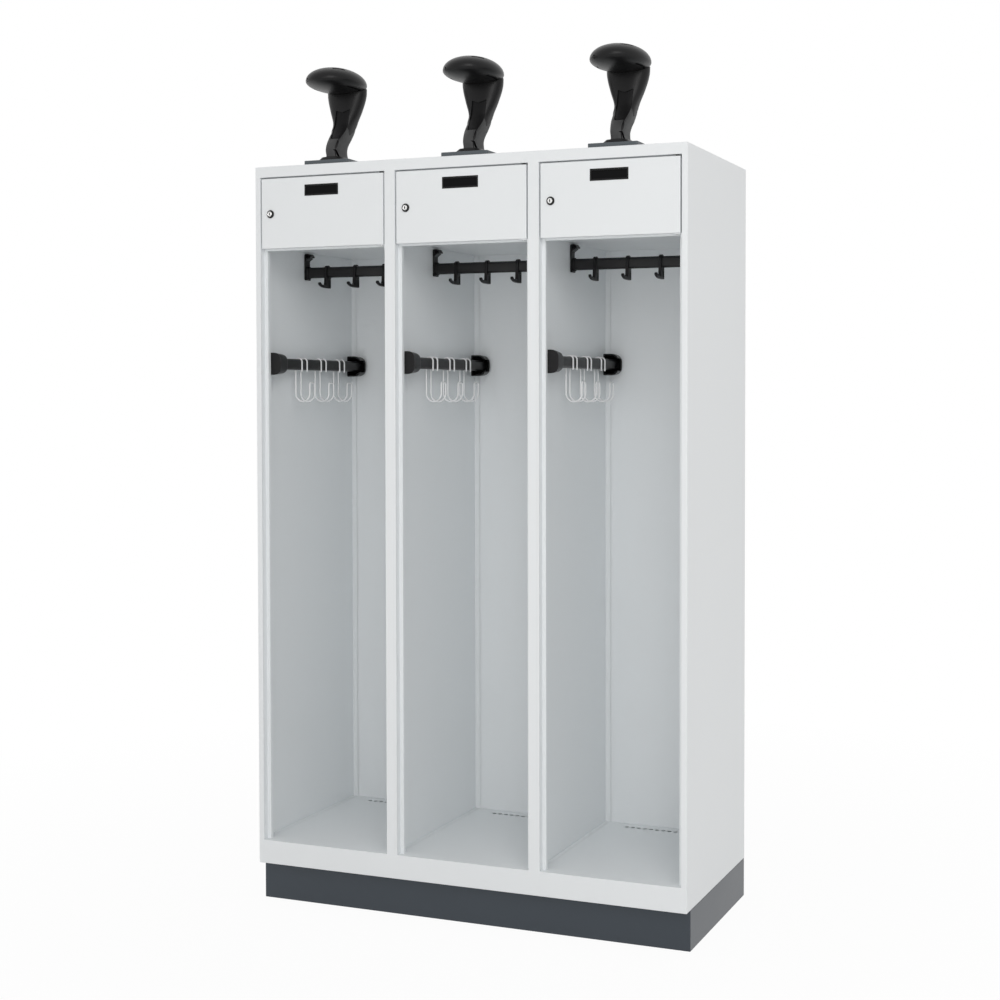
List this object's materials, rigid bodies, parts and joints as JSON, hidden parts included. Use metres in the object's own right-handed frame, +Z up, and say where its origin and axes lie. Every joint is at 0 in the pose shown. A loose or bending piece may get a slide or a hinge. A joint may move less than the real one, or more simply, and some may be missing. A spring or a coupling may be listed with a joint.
{
  "type": "firefighter gear locker",
  "caption": "Open-front steel gear locker with lockable valuables boxes, coat rails with hooks, side rails with wire hooks, plinth and helmet holders on top.",
  "frame": {"origin": "on the floor, in the middle of the box round the locker and its helmet holders", "axes": "+Z up, +Y from the open front to the back, +X to the right seen from the front"},
  "size_m": [1.2, 0.517, 2.2095],
  "materials": {
    "light_grey_paint": "satin powder coat",
    "slate_grey_paint": "satin powder coat",
    "plate_grey_paint": "satin powder coat",
    "black_plastic": "fine moulded grain",
    "black_rail": "satin black coat",
    "pale_wire": "pale grey coated wire",
    "lock_chrome": "polished"
  },
  "bodies": {
    "carcass": {"side_panel_left": "light_grey_paint", "side_panel_right": "light_grey_paint", "back_panel": "light_grey_paint", "top_panel": "light_grey_paint", "floor_panel": "light_grey_paint", "divider_panel_1": "light_grey_paint", "divider_panel_2": "light_grey_paint", "front_frame": "light_grey_paint", "plinth": "slate_grey_paint", "box_floor_1": "light_grey_paint", "coat_rail_1": "black_rail", "side_rail_1": "black_rail", "rail_holder_front_1": "black_plastic", "rail_holder_rear_1": "black_plastic", "helmet_plate_1": "plate_grey_paint", "helmet_stem_1": "black_plastic", "helmet_head_1": "black_plastic", "box_floor_2": "light_grey_paint", "coat_rail_2": "black_rail", "side_rail_2": "black_rail", "rail_holder_front_2": "black_plastic", "rail_holder_rear_2": "black_plastic", "helmet_plate_2": "plate_grey_paint", "helmet_stem_2": "black_plastic", "helmet_head_2": "black_plastic", "box_floor_3": "light_grey_paint", "coat_rail_3": "black_rail", "side_rail_3": "black_rail", "rail_holder_front_3": "black_plastic", "rail_holder_rear_3": "black_plastic", "helmet_plate_3": "plate_grey_paint", "helmet_stem_3": "black_plastic", "helmet_head_3": "black_plastic"},
    "box_door_1": {"door_1": "light_grey_paint", "lock_barrel_1": "lock_chrome"},
    "box_lock_cam_1": {"lock_cam_1": "lock_chrome"},
    "coat_hook_slider_1a": {"coat_hook_1a": "black_plastic"},
    "wire_hook_slider_1a": {"wire_hook_1a": "pale_wire"},
    "coat_hook_slider_1b": {"coat_hook_1b": "black_plastic"},
    "wire_hook_slider_1b": {"wire_hook_1b": "pale_wire"},
    "coat_hook_slider_1c": {"coat_hook_1c": "black_plastic"},
    "wire_hook_slider_1c": {"wire_hook_1c": "pale_wire"},
    "box_door_2": {"door_2": "light_grey_paint", "lock_barrel_2": "lock_chrome"},
    "box_lock_cam_2": {"lock_cam_2": "lock_chrome"},
    "coat_hook_slider_2a": {"coat_hook_2a": "black_plastic"},
    "wire_hook_slider_2a": {"wire_hook_2a": "pale_wire"},
    "coat_hook_slider_2b": {"coat_hook_2b": "black_plastic"},
    "wire_hook_slider_2b": {"wire_hook_2b": "pale_wire"},
    "coat_hook_slider_2c": {"coat_hook_2c": "black_plastic"},
    "wire_hook_slider_2c": {"wire_hook_2c": "pale_wire"},
    "box_door_3": {"door_3": "light_grey_paint", "lock_barrel_3": "lock_chrome"},
    "box_lock_cam_3": {"lock_cam_3": "lock_chrome"},
    "coat_hook_slider_3a": {"coat_hook_3a": "black_plastic"},
    "wire_hook_slider_3a": {"wire_hook_3a": "pale_wire"},
    "coat_hook_slider_3b": {"coat_hook_3b": "black_plastic"},
    "wire_hook_slider_3b": {"wire_hook_3b": "pale_wire"},
    "coat_hook_slider_3c": {"coat_hook_3c": "black_plastic"},
    "wire_hook_slider_3c": {"wire_hook_3c": "pale_wire"}
  },
  "joints": [
    {"name": "box_door_1_hinge", "type": "hinge", "parent": "carcass", "child": "box_door_1", "pos_m": [-0.228, -0.2335, 1.8265], "axis": [0, 0, 1], "range_deg": [0, 105]},
    {"name": "box_lock_1_turn", "type": "hinge", "parent": "box_door_1", "child": "box_lock_cam_1", "pos_m": [-0.5535, -0.2415, 1.825], "axis": [0, -1, 0], "range_deg": [0, 90]},
    {"name": "box_door_2_hinge", "type": "hinge", "parent": "carcass", "child": "box_door_2", "pos_m": [0.172, -0.2335, 1.8265], "axis": [0, 0, 1], "range_deg": [0, 105]},
    {"name": "box_lock_2_turn", "type": "hinge", "parent": "box_door_2", "child": "box_lock_cam_2", "pos_m": [-0.1535, -0.2415, 1.825], "axis": [0, -1, 0], "range_deg": [0, 90]},
    {"name": "box_door_3_hinge", "type": "hinge", "parent": "carcass", "child": "box_door_3", "pos_m": [0.572, -0.2335, 1.8265], "axis": [0, 0, 1], "range_deg": [0, 105]},
    {"name": "box_lock_3_turn", "type": "hinge", "parent": "box_door_3", "child": "box_lock_cam_3", "pos_m": [0.2465, -0.2415, 1.825], "axis": [0, -1, 0], "range_deg": [0, 90]},
    {"name": "coat_hook_1a_slide", "type": "slide", "parent": "carcass", "child": "coat_hook_slider_1a", "axis": [1, 0, 0], "range_m": [-0.05, 0.04]},
    {"name": "wire_hook_1a_slide", "type": "slide", "parent": "carcass", "child": "wire_hook_slider_1a", "axis": [0, 1, 0], "range_m": [-0.075, 0.034]},
    {"name": "coat_hook_1b_slide", "type": "slide", "parent": "carcass", "child": "coat_hook_slider_1b", "axis": [1, 0, 0], "range_m": [-0.04, 0.04]},
    {"name": "wire_hook_1b_slide", "type": "slide", "parent": "carcass", "child": "wire_hook_slider_1b", "axis": [0, 1, 0], "range_m": [-0.034, 0.034]},
    {"name": "coat_hook_1c_slide", "type": "slide", "parent": "carcass", "child": "coat_hook_slider_1c", "axis": [1, 0, 0], "range_m": [-0.04, 0.13]},
    {"name": "wire_hook_1c_slide", "type": "slide", "parent": "carcass", "child": "wire_hook_slider_1c", "axis": [0, 1, 0], "range_m": [-0.034, 0.06]},
    {"name": "coat_hook_2a_slide", "type": "slide", "parent": "carcass", "child": "coat_hook_slider_2a", "axis": [1, 0, 0], "range_m": [-0.05, 0.04]},
    {"name": "wire_hook_2a_slide", "type": "slide", "parent": "carcass", "child": "wire_hook_slider_2a", "axis": [0, 1, 0], "range_m": [-0.075, 0.034]},
    {"name": "coat_hook_2b_slide", "type": "slide", "parent": "carcass", "child": "coat_hook_slider_2b", "axis": [1, 0, 0], "range_m": [-0.04, 0.04]},
    {"name": "wire_hook_2b_slide", "type": "slide", "parent": "carcass", "child": "wire_hook_slider_2b", "axis": [0, 1, 0], "range_m": [-0.034, 0.034]},
    {"name": "coat_hook_2c_slide", "type": "slide", "parent": "carcass", "child": "coat_hook_slider_2c", "axis": [1, 0, 0], "range_m": [-0.04, 0.13]},
    {"name": "wire_hook_2c_slide", "type": "slide", "parent": "carcass", "child": "wire_hook_slider_2c", "axis": [0, 1, 0], "range_m": [-0.034, 0.06]},
    {"name": "coat_hook_3a_slide", "type": "slide", "parent": "carcass", "child": "coat_hook_slider_3a", "axis": [1, 0, 0], "range_m": [-0.05, 0.04]},
    {"name": "wire_hook_3a_slide", "type": "slide", "parent": "carcass", "child": "wire_hook_slider_3a", "axis": [0, 1, 0], "range_m": [-0.075, 0.034]},
    {"name": "coat_hook_3b_slide", "type": "slide", "parent": "carcass", "child": "coat_hook_slider_3b", "axis": [1, 0, 0], "range_m": [-0.04, 0.04]},
    {"name": "wire_hook_3b_slide", "type": "slide", "parent": "carcass", "child": "wire_hook_slider_3b", "axis": [0, 1, 0], "range_m": [-0.034, 0.034]},
    {"name": "coat_hook_3c_slide", "type": "slide", "parent": "carcass", "child": "coat_hook_slider_3c", "axis": [1, 0, 0], "range_m": [-0.04, 0.13]},
    {"name": "wire_hook_3c_slide", "type": "slide", "parent": "carcass", "child": "wire_hook_slider_3c", "axis": [0, 1, 0], "range_m": [-0.034, 0.06]}
  ]
}
